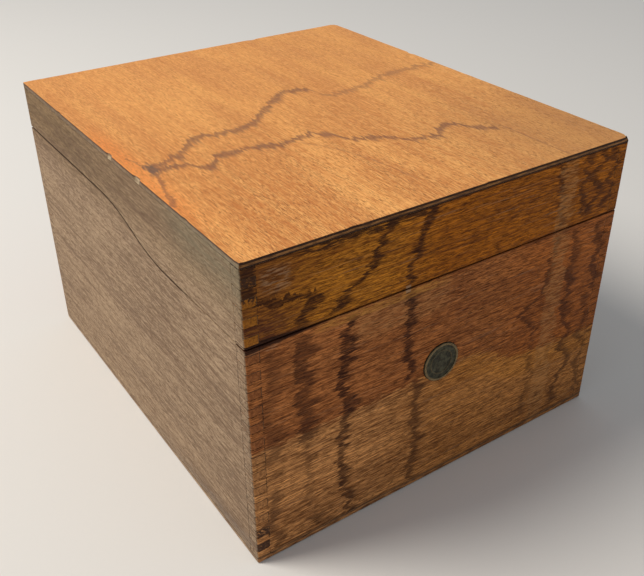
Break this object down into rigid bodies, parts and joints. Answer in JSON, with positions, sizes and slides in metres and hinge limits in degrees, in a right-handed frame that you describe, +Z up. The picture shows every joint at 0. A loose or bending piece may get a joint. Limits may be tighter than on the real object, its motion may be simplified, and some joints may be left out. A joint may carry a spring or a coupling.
{
  "type": "recipe card box",
  "caption": "Finger-jointed oak card box with a hinged lid parted along a stepped line, a round metal medallion and a sliding follow block.",
  "frame": {"origin": "middle of the box's underside, on the surface it stands on", "axes": "+X to the right along the front, +Y from the front to the hinged back, +Z up"},
  "size_m": [0.154, 0.1799, 0.1143],
  "materials": {
    "front_oak": "worn varnish",
    "side_oak": "weathered, dry",
    "top_oak": "worn varnish",
    "panel_oak": "bare",
    "block_wood": "bare",
    "aged_brass": "dark patina",
    "hinge_brass": "aged",
    "steel": "dull"
  },
  "bodies": {
    "base": {"base_front": "front_oak", "base_back": "front_oak", "base_left": "side_oak", "base_right": "side_oak", "bottom_panel": "panel_oak", "medallion": "aged_brass", "hinge_left_base_leaf": "hinge_brass", "hinge_left_pin": "hinge_brass", "hinge_left_base_screws": "hinge_brass", "hinge_right_base_leaf": "hinge_brass", "hinge_right_pin": "hinge_brass", "hinge_right_base_screws": "hinge_brass", "follower_rail": "steel", "rail_screws": "steel"},
    "lid": {"lid_front": "front_oak", "lid_back": "front_oak", "lid_left": "side_oak", "lid_right": "side_oak", "lid_top_panel": "top_oak", "hinge_left_lid_leaf": "hinge_brass", "hinge_left_lid_screws": "hinge_brass", "hinge_right_lid_leaf": "hinge_brass", "hinge_right_lid_screws": "hinge_brass"},
    "follower": {"follower_block": "block_wood", "follower_shoe": "steel", "follower_screws": "steel", "follower_spring": "steel", "spring_rivet": "steel"}
  },
  "joints": [
    {"name": "lid_hinge", "type": "hinge", "parent": "base", "child": "lid", "pos_m": [0, 0.08865, 0.0956], "axis": [-1, 0, 0], "range_deg": [0, 100]},
    {"name": "follower_slide", "type": "slide", "parent": "base", "child": "follower", "axis": [0, -1, 0], "range_m": [0, 0.125]}
  ]
}
